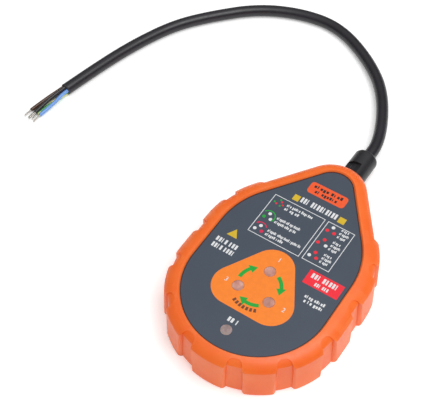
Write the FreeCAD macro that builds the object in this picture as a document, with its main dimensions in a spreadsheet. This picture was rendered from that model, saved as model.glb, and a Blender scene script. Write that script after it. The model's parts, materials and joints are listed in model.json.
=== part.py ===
import FreeCAD, Part

import math
import os

import Sketcher
from FreeCAD import Placement, Rotation, Vector

# Hand-held phase-rotation tester with a bare-ended flying lead.  Millimetres.
# +Z is up out of the label, +Y runs from the grip end to the cable gland, and the origin is
# on the resting plane, below the middle of the tester's box (body and gland, without the lead).

SIZES = [
    # outline of the case at its groove floors
    ("case_half_width", 52.4, "half width of the base at the groove floors, and the bottom arc"),
    ("case_bottom_y", -37.0, "centre of the bottom arc"),
    ("case_shoulder_radius", 59.3, "arc between the side and the flank"),
    ("case_shoulder_y", -9.6, "centre of the shoulder arcs"),
    ("case_tip_radius", 22.0, "nose round the gland"),
    ("case_tip_y", 44.5, "centre of the nose arc"),
    ("crest_height", 27.5, "resting plane to the bezel's crest"),
    ("wall_draft", 2.5, "degrees that the walls lean inwards"),
    ("core_crown", 9.5, "radius of the bezel's crown in the grooves"),
    ("core_overhang", 1.7, "how far that crown's circle reaches outside the wall"),
    ("lobe_crown", 12.0, "radius of the bezel's crown on the lobes"),
    ("lobe_overhang", 2.1, "how far that crown's circle reaches outside the lobes"),
    ("base_round", 0.8, "rounding at the resting edge"),
    ("case_wall", 3.0, "side wall"),
    ("ceiling_height", 23.5, "inside of the top wall"),
    # grips
    ("lobe_height", 2.1, "how far the grip lobes stand out"),
    ("groove_first", 15.7, "along the outline from the bottom to the first groove"),
    ("groove_pitch", 28.0, "from groove to groove"),
    ("groove_depth", 4.5, "depth of the groove cutter below the case outline"),
    ("groove_half_floor", 0.8, "half of the groove cutter's floor"),
    ("groove_side", 7.1, "length of a groove's curved side"),
    ("last_side", 10.5, "length of the curved end of the last lobe, towards the nose"),
    # label
    ("label_half_width", 43.2, "half width, also the bottom arc's radius"),
    ("label_bottom_y", -39.1, "centre of the label's bottom arc"),
    ("label_shoulder_radius", 50.1, "label's shoulder arcs"),
    ("label_tip_radius", 12.8, "label's top arc"),
    ("label_level", 26.3, "top of the label"),
    ("label_thickness", 0.4, "polycarbonate label"),
    ("label_gap", 0.15, "between the label's edge and its recess"),
    ("flare_start", 0.8, "recess floor to the flare inside the bezel's crest"),
    ("flare_angle", 42.0, "degrees of that flare from upright"),
    # rear cover and gasket
    ("cover_thickness", 2.5, "rear cover plate"),
    ("cover_inset", 1.5, "cover edge inside the case outline"),
    ("cover_gap", 0.1, "between the cover and its rebate"),
    ("cover_clip_y", 49.9, "straight edge of the cover below the nose"),
    ("gasket_thickness", 0.8, "flat rubber gasket"),
    ("gasket_width", 1.5, "flat rubber gasket"),
    ("spigot_height", 2.2, "rim that stands into the case"),
    ("spigot_wall", 1.6, "rim that stands into the case"),
    ("rib_height", 2.4, "stiffening ribs of the cover"),
    ("rib_width", 1.8, "stiffening ribs of the cover"),
    # screws
    ("case_boss_radius", 3.6, "bosses for the case screws"),
    ("cover_boss_radius", 4.5, "cups round the case screw heads"),
    ("cover_boss_height", 2.5, "cups round the case screw heads"),
    ("case_head_radius", 2.9, "case screw head"),
    ("case_head_height", 2.1, "case screw head"),
    ("case_shank_radius", 1.45, "case screw shank"),
    ("case_shank_length", 12.0, "case screw shank"),
    ("screw_clearance", 0.05, "round a shank in its hole"),
    ("board_boss_radius", 3.0, "bosses for the board screws"),
    ("board_head_radius", 2.2, "board screw head"),
    ("board_head_height", 1.6, "board screw head"),
    ("board_shank_radius", 1.1, "board screw shank"),
    ("board_shank_length", 7.0, "board screw shank"),
    # circuit board
    ("board_top", 15.0, "component side of the board"),
    ("board_thickness", 1.6, "glass-epoxy board"),
    ("board_inset", 13.5, "board edge inside the case outline"),
    ("board_clip_y", 38.0, "straight edge of the board at the lead"),
    # indicator windows and lamps
    ("lamp_ring_radius", 11.7, "circle of the three phase lamps"),
    ("lamp_ring_y", -37.4, "centre of that circle"),
    ("polarity_lamp_y", -70.6, "lamp below the phase lamps"),
    ("window_radius", 3.3, "lens stem"),
    ("window_gap", 0.1, "round the lens stem"),
    ("window_flange_radius", 4.2, "lens flange under the top wall"),
    ("window_flange_height", 1.0, "lens flange under the top wall"),
    ("lamp_radius", 2.5, "5 mm lamp"),
    ("lamp_flange_radius", 2.9, "5 mm lamp"),
    ("lamp_straight", 4.6, "lamp height up to its dome"),
    # gland, along +Y
    ("gland_level", 7.8, "height of the gland's axis"),
    ("seat_y", 65.4, "flat on the nose that the gland's washer meets"),
    ("seat_radius", 7.6, "that flat"),
    ("thread_radius", 6.0, "gland thread, drawn plain"),
    ("thread_gap", 0.05, "between plain threads"),
    ("thread_start_y", 53.0, "inner end of the gland body"),
    ("washer_thickness", 1.0, "sealing washer"),
    ("collar_radius", 7.1, "collar of the gland body, and its washer"),
    ("collar_thickness", 1.8, "collar of the gland body"),
    ("gland_bore_radius", 4.3, "passage for the lead"),
    ("insert_seat_radius", 5.05, "pocket for the clamping insert"),
    ("insert_seat_y", 72.0, "bottom of that pocket"),
    ("gland_body_end_y", 79.0, "outer end of the gland body"),
    ("insert_start_y", 73.0, "clamping insert"),
    ("insert_end_y", 82.0, "clamping insert"),
    ("insert_radius", 4.97, "clamping insert"),
    ("insert_bore_radius", 4.4, "clamping insert, drawn relaxed"),
    ("insert_head_radius", 5.7, "head of the clamping insert"),
    ("nut_radius", 7.75, "dome nut, beyond its flats"),
    ("nut_end_y", 91.5, "mouth of the dome nut"),
    ("nut_gap", 0.2, "between the nut and the collar"),
    ("nut_mouth_radius", 4.65, "hole of the dome nut"),
    ("nut_dome", 2.6, "rounding of the dome nut"),
    ("nut_flat_half", 5.8, "axis to a spanner flat"),
    ("nut_rest_turn", -25, "turn of the flats from level, as the nut stands when tight"),
    ("nut_flat_length", 10.6, "length of the spanner flats"),
    # lead
    ("lead_radius", 4.0, "outer radius of the sheath"),
    ("core_radius", 1.2, "insulated core"),
    ("core_ring_radius", 2.25, "circle of the cores in the sheath"),
    ("strand_radius", 0.6, "tinned strands"),
    ("terminal_pitch", 5.0, "terminal block"),
    ("terminal_face_y", 36.0, "side of the terminal block where the cores enter"),
]

# Route of the sheath's centre line, from inside the gland to the stripped end.
LEAD_ROUTE = [
    (0, 61, 7.8),
    (0, 85, 7.8),
    (0.5, 108, 7.6),
    (-18, 147, 5.6),
    (-42, 170, 4.4),
    (-74, 187, 4.05),
    (-103, 185, 4.05),
    (-132, 172, 4.05),
    (-155, 149, 4.05),
    (-173, 126, 4.05),
    (-185, 96, 4.05),
    (-193, 66, 4.05),
    (-199, 36, 4.05),
]

# Each core: its angle on the ring of cores, then a middle point, the end of the insulation
# and the tip of the strands.
CORES = {
    "black": (90, (-202.4, 21.0, 5.0), (-203.4, 8.6, 3.8), (-204.6, 3.0, 2.2)),
    "brown": (18, (-204.9, 21.4, 4.1), (-207.6, 9.0, 3.0), (-208.6, 3.6, 2.2)),
    "grey": (-54, (-204.6, 22.5, 1.4), (-205.8, 10.0, 1.2), (-206.4, 4.4, 0.9)),
    "earth": (-126, (-200.7, 21.6, 1.9), (-203.2, 9.6, 1.3), (-203.0, 4.4, 0.9)),
    "blue": (162, (-198.2, 21.0, 3.4), (-200.6, 9.4, 1.9), (-201.2, 3.4, 0.9)),
}

CASE_SCREWS = [(-34, -64), (34, -64), (-31, 25), (31, 25)]
BOARD_SCREWS = [(-24, -60), (24, -60), (-24, 8), (24, 8)]
RUN_SHARE = 0.45
NOSE_MARGIN = 30

doc = FreeCAD.newDocument("rotation_tester")
sheet = doc.addObject("Spreadsheet::Sheet", "sizes")
parts = {}


class Dim:
    """A length, with the spreadsheet expression that it comes from."""

    def __init__(self, number, text):
        self.number = number
        self.text = text

    def __add__(self, other):
        other = as_dim(other)
        return Dim(self.number + other.number, f"({self.text} + {other.text})")

    def __sub__(self, other):
        other = as_dim(other)
        return Dim(self.number - other.number, f"({self.text} - {other.text})")

    def __mul__(self, factor):
        return Dim(self.number * factor, f"({self.text} * {factor})")

    def __neg__(self):
        return self * -1


def as_dim(value):
    return value if isinstance(value, Dim) else Dim(float(value), f"{float(value)} mm")


def fill_sheet():
    for row, (alias, number, note) in enumerate(SIZES, 1):
        sheet.set(f"A{row}", alias)
        sheet.set(f"B{row}", str(number))
        sheet.set(f"C{row}", note)
        sheet.setAlias(f"B{row}", alias)
    doc.recompute()


def size(alias):
    return Dim(float(sheet.get(alias)), f"sizes.{alias} * 1 mm")


def bind(obj, prop, value):
    obj.setExpression(prop, as_dim(value).text)


# ---------------------------------------------------------------- bodies and sketches

def new_body(name):
    body = doc.addObject("PartDesign::Body", name)
    body.Label = name
    return body


def new_sketch(body, name, level=0.0, role="XY_Plane"):
    sketch = body.newObject("Sketcher::SketchObject", name)
    plane = next(f for f in body.Origin.OriginFeatures if f.Role == role)
    sketch.AttachmentSupport = [(plane, "")]
    sketch.MapMode = "FlatFace"
    bind(sketch, "AttachmentOffset.Base.z", level)
    return sketch


def constrain(sketch, kind, *refs, value=None):
    if value is None:
        sketch.addConstraint(Sketcher.Constraint(kind, *refs))
        return
    index = sketch.addConstraint(Sketcher.Constraint(kind, *refs, value.number))
    sketch.setExpression(f"Constraints[{index}]", value.text)


def arc_geometry(x, y, radius, start, end):
    circle = Part.Circle(Vector(x, y, 0), Vector(0, 0, 1), radius)
    return Part.ArcOfCircle(circle, start, end)


def line_geometry(start, end):
    return Part.LineSegment(Vector(*start, 0), Vector(*end, 0))


def flank_angle(half_width, shoulder_r, shoulder_y, tip_r, tip_y):
    """Angle of the flank's normal, where one line is tangent to the shoulder and the tip."""
    dx = shoulder_r - half_width
    dy = tip_y - shoulder_y
    return math.atan2(dy, dx) - math.acos((shoulder_r - tip_r) / math.hypot(dx, dy))


def teardrop(sketch, outline, inset=0.0):
    """Outline of the tester: bottom arc, sides, shoulder arcs, flanks and tip arc."""
    half = size(f"{outline}_half_width") - inset
    bottom_y = size(f"{outline}_bottom_y")
    shoulder = size(f"{outline}_shoulder_radius") - inset
    shoulder_y = size("case_shoulder_y")
    tip = size(f"{outline}_tip_radius") - inset
    tip_y = size("case_tip_y")
    angle = flank_angle(half.number, shoulder.number, shoulder_y.number, tip.number, tip_y.number)
    centre = half.number - shoulder.number

    def on_circle(x, y, radius, turn):
        return (x + radius * math.cos(turn), y + radius * math.sin(turn))

    right_shoulder = on_circle(centre, shoulder_y.number, shoulder.number, angle)
    right_tip = on_circle(0, tip_y.number, tip.number, angle)
    left_tip = (-right_tip[0], right_tip[1])
    left_shoulder = (-right_shoulder[0], right_shoulder[1])
    first = sketch.GeometryCount
    sketch.addGeometry([
        arc_geometry(0, bottom_y.number, half.number, math.pi, 2 * math.pi),
        line_geometry((half.number, bottom_y.number), (half.number, shoulder_y.number)),
        arc_geometry(centre, shoulder_y.number, shoulder.number, 0, angle),
        line_geometry(right_shoulder, right_tip),
        arc_geometry(0, tip_y.number, tip.number, angle, math.pi - angle),
        line_geometry(left_tip, left_shoulder),
        arc_geometry(-centre, shoulder_y.number, shoulder.number, math.pi - angle, math.pi),
        line_geometry((-half.number, shoulder_y.number), (-half.number, bottom_y.number)),
    ], False)
    bottom, right, right_arc, _, tip_arc, _, left_arc, left = range(first, first + 8)
    for index in range(8):
        constrain(sketch, "Tangent", first + index, 2, first + (index + 1) % 8, 1)
    constrain(sketch, "Vertical", right)
    constrain(sketch, "Vertical", left)
    constrain(sketch, "Equal", right_arc, left_arc)
    constrain(sketch, "PointOnObject", bottom, 3, -2)
    constrain(sketch, "PointOnObject", tip_arc, 3, -2)
    constrain(sketch, "Radius", bottom, value=half)
    constrain(sketch, "Radius", right_arc, value=shoulder)
    constrain(sketch, "Radius", tip_arc, value=tip)
    constrain(sketch, "DistanceY", -1, 1, bottom, 3, value=bottom_y)
    constrain(sketch, "DistanceY", -1, 1, right_arc, 3, value=shoulder_y)
    constrain(sketch, "DistanceY", -1, 1, left_arc, 3, value=shoulder_y)
    constrain(sketch, "DistanceY", -1, 1, tip_arc, 3, value=tip_y)


def polygon(sketch, points):
    """Closed polygon whose corners are bound to the sheet."""
    points = [(as_dim(x), as_dim(y)) for x, y in points]
    first = sketch.GeometryCount
    ends = points[1:] + points[:1]
    sketch.addGeometry([line_geometry((a[0].number, a[1].number), (b[0].number, b[1].number))
                        for a, b in zip(points, ends)], False)
    for index, (x, y) in enumerate(points):
        constrain(sketch, "Coincident", first + index, 2, first + (index + 1) % len(points), 1)
        constrain(sketch, "DistanceX", -1, 1, first + index, 1, value=x)
        constrain(sketch, "DistanceY", -1, 1, first + index, 1, value=y)


def circle(sketch, x, y, radius):
    index = sketch.addGeometry(
        Part.Circle(Vector(as_dim(x).number, as_dim(y).number, 0), Vector(0, 0, 1),
                    as_dim(radius).number), False)
    constrain(sketch, "Radius", index, value=as_dim(radius))
    constrain(sketch, "DistanceX", -1, 1, index, 3, value=as_dim(x))
    constrain(sketch, "DistanceY", -1, 1, index, 3, value=as_dim(y))


def pad(body, sketch, length):
    feature = body.newObject("PartDesign::Pad", "Pad")
    feature.Profile = sketch
    bind(feature, "Length", length)
    sketch.Visibility = False
    doc.recompute()
    return feature


def pocket(body, sketch, length=None):
    """Cut upwards from the sketch, right through when no length is given."""
    before = body.Shape.Volume
    feature = body.newObject("PartDesign::Pocket", "Pocket")
    feature.Profile = sketch
    feature.Reversed = True
    if length is None:
        feature.Type = 1
    else:
        bind(feature, "Length", length)
    sketch.Visibility = False
    doc.recompute()
    if not body.Shape.Volume < before - 0.01:
        raise RuntimeError(f"{body.Label}: the pocket cuts nothing")
    return feature


def revolve(body, points, role="XZ_Plane", level=0.0):
    """Turn a profile round the sketch's vertical axis."""
    sketch = new_sketch(body, "Profile", level, role)
    polygon(sketch, points)
    feature = body.newObject("PartDesign::Revolution", "Revolution")
    feature.Profile = sketch
    feature.ReferenceAxis = (sketch, ["V_Axis"])
    feature.Angle = 360
    sketch.Visibility = False
    doc.recompute()
    return feature


def round_edges(body, feature, radius, wanted):
    names = [f"Edge{i}" for i, edge in enumerate(feature.Shape.Edges, 1) if wanted(edge)]
    fillet = body.newObject("PartDesign::Fillet", "Fillet")
    fillet.Base = (feature, names)
    bind(fillet, "Radius", radius)
    doc.recompute()
    return fillet


def at_level(level):
    def wanted(edge):
        box = edge.BoundBox
        return abs(box.ZMin - level) < 1e-4 and abs(box.ZMax - level) < 1e-4
    return wanted


def prism(name, inset, low, high, clip_y=None):
    """Upright block with the case's outline, cut off straight below the nose if asked."""
    body = new_body(name)
    sketch = new_sketch(body, f"{name}_outline", low)
    teardrop(sketch, "case", inset)
    pad(body, sketch, as_dim(high) - low)
    if clip_y is not None:
        clip = new_sketch(body, f"{name}_clip", low)
        side = size("case_half_width")
        polygon(clip, [(-side, clip_y), (side, clip_y), (side, as_dim(clip_y) + NOSE_MARGIN),
                       (-side, as_dim(clip_y) + NOSE_MARGIN)])
        pocket(body, clip)
    return body


# ---------------------------------------------------------------- primitives and booleans

def cylinder(name, radius, height, x=0.0, y=0.0, z=0.0, axis="Z"):
    """Cylinder that starts at a point and runs along +X, +Y or +Z."""
    turn = {"Z": Rotation(), "Y": Rotation(Vector(1, 0, 0), -90),
            "X": Rotation(Vector(0, 1, 0), 90)}[axis]
    obj = doc.addObject("Part::Cylinder", name)
    bind(obj, "Radius", radius)
    bind(obj, "Height", height)
    obj.Placement = Placement(Vector(*(as_dim(v).number for v in (x, y, z))), turn)
    for key, value in zip("xyz", (x, y, z)):
        bind(obj, f"Placement.Base.{key}", value)
    return obj


def box(name, low, high):
    """Box between two corners."""
    obj = doc.addObject("Part::Box", name)
    for key, side, start, end in zip("xyz", ("Length", "Width", "Height"), low, high):
        bind(obj, side, as_dim(end) - start)
        bind(obj, f"Placement.Base.{key}", start)
    return obj


def fuse(name, objects):
    obj = doc.addObject("Part::MultiFuse", name)
    obj.Shapes = objects
    return obj


def cut(name, base, tools):
    obj = doc.addObject("Part::Cut", name)
    obj.Base = base
    obj.Tool = tools[0] if len(tools) == 1 else fuse(f"{name}_tools", tools)
    return obj


def group(name, objects):
    obj = doc.addObject("Part::Compound", name)
    obj.Links = objects
    return obj


def keep(obj, name):
    obj.Label = name
    parts[name] = obj


# ---------------------------------------------------------------- tubes along a route

def route_wire(points, name):
    """Straight runs joined by arcs, each as large as its two runs allow."""
    points = [Vector(*p) for p in points]
    edges = []
    radii = []
    start = points[0]
    for before, corner, after in zip(points, points[1:], points[2:]):
        back = before - corner
        ahead = after - corner
        reach = RUN_SHARE * min(back.Length, ahead.Length)
        half_turn = (math.pi - back.getAngle(ahead)) / 2
        radii.append(reach / math.tan(half_turn))
        back.normalize()
        ahead.normalize()
        enter = corner + back * reach
        leave = corner + ahead * reach
        centre = corner + (back + ahead).normalize() * (radii[-1] / math.cos(half_turn))
        middle = centre + (corner - centre).normalize() * radii[-1]
        edges.append(Part.LineSegment(start, enter).toShape())
        edges.append(Part.Arc(enter, middle, leave).toShape())
        start = leave
    edges.append(Part.LineSegment(start, points[-1]).toShape())
    print(name, "bend radii", " ".join(f"{r:.0f}" for r in radii))
    return Part.Wire(edges)


def tube(name, points, radius):
    """Solid round tube along a route."""
    wire = route_wire(points, name)
    start = Vector(*points[0])
    direction = Vector(*points[1]) - start
    section = Part.Wire(Part.Circle(start, direction, radius).toShape())
    shape = wire.makePipeShell([section], True, False)
    expected = math.pi * radius ** 2 * wire.Length
    if abs(shape.Volume / expected - 1) > 0.01:
        raise RuntimeError(f"{name}: volume {shape.Volume:.1f} instead of {expected:.1f}")
    obj = doc.addObject("Part::Feature", name)
    obj.Shape = shape
    obj.Placement = Placement()
    return obj


# ---------------------------------------------------------------- case

def outline_at(distance):
    """Point and outward normal on the right half of the case outline."""
    half = size("case_half_width").number
    shoulder = size("case_shoulder_radius").number
    bottom_y = size("case_bottom_y").number
    shoulder_y = size("case_shoulder_y").number
    angle = flank_angle(half, shoulder, shoulder_y, size("case_tip_radius").number,
                        size("case_tip_y").number)
    bottom_length = half * math.pi / 2
    side_length = shoulder_y - bottom_y
    shoulder_length = shoulder * angle
    if distance <= bottom_length:
        turn = distance / half - math.pi / 2
        normal = Vector(math.cos(turn), math.sin(turn), 0)
        return Vector(0, bottom_y, 0) + normal * half, normal
    distance -= bottom_length
    if distance <= side_length:
        return Vector(half, bottom_y + distance, 0), Vector(1, 0, 0)
    distance -= side_length
    turn = min(distance / shoulder, angle)
    normal = Vector(math.cos(turn), math.sin(turn), 0)
    foot = Vector(half - shoulder, shoulder_y, 0) + normal * shoulder
    along = Vector(-normal.y, normal.x, 0)
    return foot + along * max(0.0, distance - shoulder_length), normal


def groove_side(start, end, side):
    """Two arcs that rise from the groove's floor to above the lobe's surface."""
    below = -size("groove_depth").number
    above = size("lobe_height").number + 0.15

    def place(share, height):
        point, normal = outline_at(start + (end - start) * share)
        point = point + normal * height
        return Vector(side * point.x, point.y, 0)

    rise = (above - below) / 2
    radius = ((end - start) ** 2 / 4 + rise ** 2) / (2 * rise)
    sag = radius - math.sqrt(radius ** 2 - (end - start) ** 2 / 16)
    middle = place(0.5, below + rise)
    lower = Part.Arc(place(0, below), place(0.25, below + sag), middle)
    upper = Part.Arc(middle, place(0.75, above - sag), place(1, above))
    return [lower, upper]


def groove_wires(sketch):
    """Ten grooves, then the clear stretch from the last lobes round the nose."""
    outside = 8.0
    inside = 12.0
    floor = size("groove_half_floor").number
    length = size("groove_side").number
    stations = [size("groove_first").number + k * size("groove_pitch").number for k in range(6)]

    def out(distance, side, height=outside):
        point, normal = outline_at(distance)
        point = point + normal * height
        return Vector(side * point.x, point.y, 0)

    def chain(points):
        return [Part.LineSegment(a, b) for a, b in zip(points, points[1:])]

    for side in (-1, 1):
        for station in stations[:-1]:
            near = groove_side(station - floor, station - floor - length, side)
            far = groove_side(station + floor, station + floor + length, side)
            lines = chain([near[1].EndPoint, out(station - floor - length, side),
                           out(station + floor + length, side), far[1].EndPoint])
            floor_line = Part.LineSegment(near[0].StartPoint, far[0].StartPoint)
            sketch.addGeometry(near + far + lines + [floor_line], False)
    start = stations[-1] - floor
    last = start - size("last_side").number
    sides = [groove_side(start, last, side) for side in (-1, 1)]
    left_out, right_out = (out(last, side) for side in (-1, 1))
    top = size("seat_y").number + NOSE_MARGIN
    lines = chain([sides[0][1].EndPoint, left_out, Vector(left_out.x, top, 0),
                   Vector(right_out.x, top, 0), right_out, sides[1][1].EndPoint])
    inner = [sides[0][0].StartPoint, out(start, -1, -inside), out(start, 1, -inside),
             sides[1][0].StartPoint]
    sketch.addGeometry(sides[0] + sides[1] + lines + chain(inner), False)


def crowned_block(name, inset, crown, overhang):
    """Case-shaped block with leaning walls, a crowned bezel and a small rounding at the base."""
    walls = leaning_prism(f"{name}_walls", inset)
    round_edges(walls, walls.Tip, size("base_round"), at_level(0.0))
    top = leaning_prism(f"{name}_crown", as_dim(inset) - overhang)
    round_edges(top, top.Tip, crown, at_level(size("crest_height").number))
    block = doc.addObject("Part::MultiCommon", name)
    block.Shapes = [walls, top]
    return block


def leaning_prism(name, inset):
    body = prism(name, inset, 0.0, size("crest_height"))
    body.Tip.setExpression("TaperAngle", "-sizes.wall_draft * 1 deg")
    doc.recompute()
    return body


def label_recess():
    """Space above the label's seat, flared where it meets the bezel's crest."""
    body = new_body("label_recess")
    floor = size("label_level") - size("label_thickness")
    flare = floor + size("flare_start")
    for name, low, high in (("straight", floor, flare), ("flare", flare, flare + 3)):
        sketch = new_sketch(body, name, low)
        teardrop(sketch, "label", -size("label_gap"))
        feature = pad(body, sketch, high - low)
    feature.setExpression("TaperAngle", "sizes.flare_angle * 1 deg")
    doc.recompute()
    return body


def grip_lobes():
    """Ring of the lobes that stand out of the case."""
    ring = crowned_block("lobe_ring", -size("lobe_height"), size("lobe_crown"), size("lobe_overhang"))
    cutter = new_body("groove_cutter")
    grooves = new_sketch(cutter, "grooves", -1.0)
    groove_wires(grooves)
    pad(cutter, grooves, size("crest_height") + 2)
    return cut("grip_lobes", ring, [cutter])


def case_hollow():
    """Space inside the case and the rebate for the cover and its gasket."""
    ledge = size("cover_thickness") + size("gasket_thickness")
    edge = size("cover_inset") - size("cover_gap")
    rebate = prism("cover_rebate", edge, -1.0, ledge, size("cover_clip_y") + size("cover_gap"))
    space = prism("case_space", size("case_wall"), ledge - 0.5, size("ceiling_height"),
                  size("cover_clip_y") - size("gasket_width"))
    return fuse("case_hollow", [rebate, space])


def lamp_places():
    """Centres of the phase lamps and of the polarity lamp."""
    ring = size("lamp_ring_radius")
    middle = size("lamp_ring_y")
    places = {}
    for number, turn in ((1, 90), (2, -30), (3, 210)):
        angle = math.radians(turn)
        places[f"phase_{number}"] = (ring * math.cos(angle), middle + ring * math.sin(angle))
    places["polarity"] = (as_dim(0), size("polarity_lamp_y"))
    return places


def front_shell():
    blocks = [crowned_block("shell_core", 0.0, size("core_crown"), size("core_overhang")), grip_lobes()]
    hollow = cut("hollow_form", fuse("outer_form", blocks), [label_recess(), case_hollow()])
    ceiling = size("ceiling_height") + 0.5
    case_boss_end = size("cover_thickness") + size("cover_boss_height") + 0.1
    bosses = []
    holes = []
    for number, (x, y) in enumerate(CASE_SCREWS, 1):
        bosses.append(cylinder(f"case_boss_{number}", size("case_boss_radius"),
                               ceiling - case_boss_end, x, y, case_boss_end))
        holes.append(cylinder(f"case_pilot_{number}", size("case_shank_radius") + size("screw_clearance"),
                              size("case_shank_length"), x, y, case_boss_end - 1))
    for number, (x, y) in enumerate(BOARD_SCREWS, 1):
        bosses.append(cylinder(f"board_boss_{number}", size("board_boss_radius"),
                               ceiling - size("board_top"), x, y, size("board_top")))
        holes.append(cylinder(f"board_pilot_{number}",
                              size("board_shank_radius") + size("screw_clearance"),
                              size("board_shank_length"), x, y, size("board_top") - 1))
    for name, (x, y) in lamp_places().items():
        holes.append(cylinder(f"{name}_hole", size("window_radius") + size("window_gap"), 10,
                              x, y, size("ceiling_height") - 1))
    holes.append(cylinder("gland_hole", size("thread_radius") + size("thread_gap"), 40, 0,
                          size("thread_start_y") - 12, size("gland_level"), "Y"))
    holes.append(cylinder("gland_seat", size("seat_radius"), 10, 0, size("seat_y"),
                          size("gland_level"), "Y"))
    full = fuse("shell_with_bosses", [hollow] + bosses)
    keep(cut("front_shell", full, holes), "front_shell")


def rear_cover():
    thick = size("cover_thickness")
    clip = size("cover_clip_y")
    plate = prism("cover_plate", size("cover_inset"), 0.0, thick, clip)
    lowest = body_edge_round(plate)
    outer = size("case_wall") + 0.2
    clip_rim = clip - size("gasket_width") - 0.2
    rim_outside = prism("rim_outside", outer, thick, thick + size("spigot_height"), clip_rim)
    rim_inside = prism("rim_inside", outer + size("spigot_wall"), thick, thick + 10,
                       clip_rim - size("spigot_wall"))
    rim = cut("cover_rim", rim_outside, [rim_inside])
    pieces = [lowest, rim]
    holes = []
    for number, (x, y) in enumerate(CASE_SCREWS, 1):
        pieces.append(cylinder(f"cover_boss_{number}", size("cover_boss_radius"),
                               size("cover_boss_height") + 0.5, x, y, thick - 0.5))
        holes.append(cylinder(f"head_hole_{number}", size("case_head_radius") + 0.4,
                              thick + size("cover_boss_height") - 2.0 + 1, x, y, -1))
        holes.append(cylinder(f"shank_hole_{number}", size("case_shank_radius") + 0.3, 10, x, y, 0))
    for number, (y, half) in enumerate(((-78, 22), (-54, 42), (-12, 46), (18, 33)), 1):
        pieces.append(box(f"rib_{number}", (-half, y, thick - 0.5),
                          (half, size("rib_width") + y, thick + size("rib_height"))))
    keep(cut("rear_cover", fuse("cover_form", pieces), holes), "rear_cover")


def body_edge_round(body):
    round_edges(body, body.Tip, 0.5, at_level(0.0))
    return body


def case_gasket():
    low = size("cover_thickness")
    high = low + size("gasket_thickness")
    edge = size("cover_inset")
    width = size("gasket_width")
    clip = size("cover_clip_y")
    outer = prism("gasket_outside", edge, low, high, clip)
    inner = prism("gasket_inside", edge + width, low - 1, high + 1, clip - width)
    keep(cut("case_gasket", outer, [inner]), "case_gasket")


def face_label():
    body = new_body("face_label")
    low = size("label_level") - size("label_thickness")
    sketch = new_sketch(body, "label_outline", low)
    teardrop(sketch, "label")
    for x, y in lamp_places().values():
        circle(sketch, x, y, size("window_radius") + size("window_gap"))
    pad(body, sketch, size("label_thickness"))
    keep(body, "face_label")


# ---------------------------------------------------------------- screws

def screw(name, head_radius, head_height, shank_radius, shank_length, x, y, under_head):
    """Pan-head screw pointing up, with a cross recess in its head."""
    low = as_dim(under_head) - head_height
    head = cylinder(f"{name}_head", head_radius, head_height, x, y, low)
    shank = cylinder(f"{name}_shank", shank_radius, as_dim(shank_length) + 0.2, x, y,
                     as_dim(under_head) - 0.2)
    half = head_radius * 0.6
    thin = head_radius * 0.14
    depth = head_height * 0.5
    slots = [
        box(f"{name}_slot_a", (-half + x, -thin + y, low - 1), (half + x, thin + y, low + depth)),
        box(f"{name}_slot_b", (-thin + x, -half + y, low - 1), (thin + x, half + y, low + depth)),
    ]
    return cut(name, fuse(f"{name}_blank", [head, shank]), slots)


def screws():
    seat = size("cover_thickness") + size("cover_boss_height") - 2.0
    keep(group("case_screws", [
        screw(f"case_screw_{n}", size("case_head_radius"), size("case_head_height"),
              size("case_shank_radius"), size("case_shank_length"), x, y, seat)
        for n, (x, y) in enumerate(CASE_SCREWS, 1)]), "case_screws")
    seat = size("board_top") - size("board_thickness")
    keep(group("board_screws", [
        screw(f"board_screw_{n}", size("board_head_radius"), size("board_head_height"),
              size("board_shank_radius"), size("board_shank_length"), x, y, seat)
        for n, (x, y) in enumerate(BOARD_SCREWS, 1)]), "board_screws")


# ---------------------------------------------------------------- windows, lamps and board

def windows_and_lamps():
    top = size("ceiling_height")
    low = top - size("window_flange_height")
    flange = size("window_flange_radius")
    stem = size("window_radius")
    board = size("board_top")
    lamp = size("lamp_radius")
    wide = size("lamp_flange_radius")
    straight = board + size("lamp_straight")
    for name, (x, y) in lamp_places().items():
        body = new_body(f"{name}_window")
        revolve(body, [(0, low), (flange, low), (flange, top), (stem, top),
                       (stem, size("label_level")), (0, size("label_level"))])
        bind(body, "Placement.Base.x", x)
        bind(body, "Placement.Base.y", y)
        keep(body, f"{name}_window")
        body = new_body(f"{name}_lamp")
        feature = revolve(body, [(0, board), (wide, board), (wide, board + 1), (lamp, board + 1),
                                 (lamp, straight + lamp), (0, straight + lamp)])
        round_edges(body, feature, lamp - 0.05, at_level((straight + lamp).number))
        bind(body, "Placement.Base.x", x)
        bind(body, "Placement.Base.y", y)
        keep(body, f"{name}_lamp")


def circuit_board():
    low = size("board_top") - size("board_thickness")
    body = prism("circuit_board", size("board_inset"), low, size("board_top"), size("board_clip_y"))
    holes = new_sketch(body, "screw_holes", low - 1)
    for x, y in BOARD_SCREWS:
        circle(holes, x, y, size("board_shank_radius") + 0.2)
    pocket(body, holes)
    keep(body, "circuit_board")


def top_side_parts():
    """Sounder, controller and small resistors on the lamp side of the board."""
    board = size("board_top")
    body = new_body("piezo_sounder")
    revolve(body, [(1.2, board), (7, board), (7, board + 6), (6.4, board + 6.6),
                   (1.2, board + 6.6)])
    keep(body, "piezo_sounder")
    chip = [box("chip_body", (-25, -24, board + 0.1), (-17, -14, board + 1.8))]
    for number in range(14):
        side, step = divmod(number, 7)
        x = -26.2 if side == 0 else -17.1
        y = -23.2 + 1.27 * step
        chip.append(box(f"chip_leg_{number}", (x, y, board), (x + 1.3, y + 0.45, board + 0.7)))
    keep(fuse("microcontroller", chip), "microcontroller")
    keep(group("chip_resistors", [
        box(f"chip_resistor_{n}", (17 + 3.2 * (n % 4), -22 + 4 * (n // 4), board),
            (19 + 3.2 * (n % 4), -20.75 + 4 * (n // 4), board + 0.6))
        for n in range(12)]), "chip_resistors")


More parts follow.
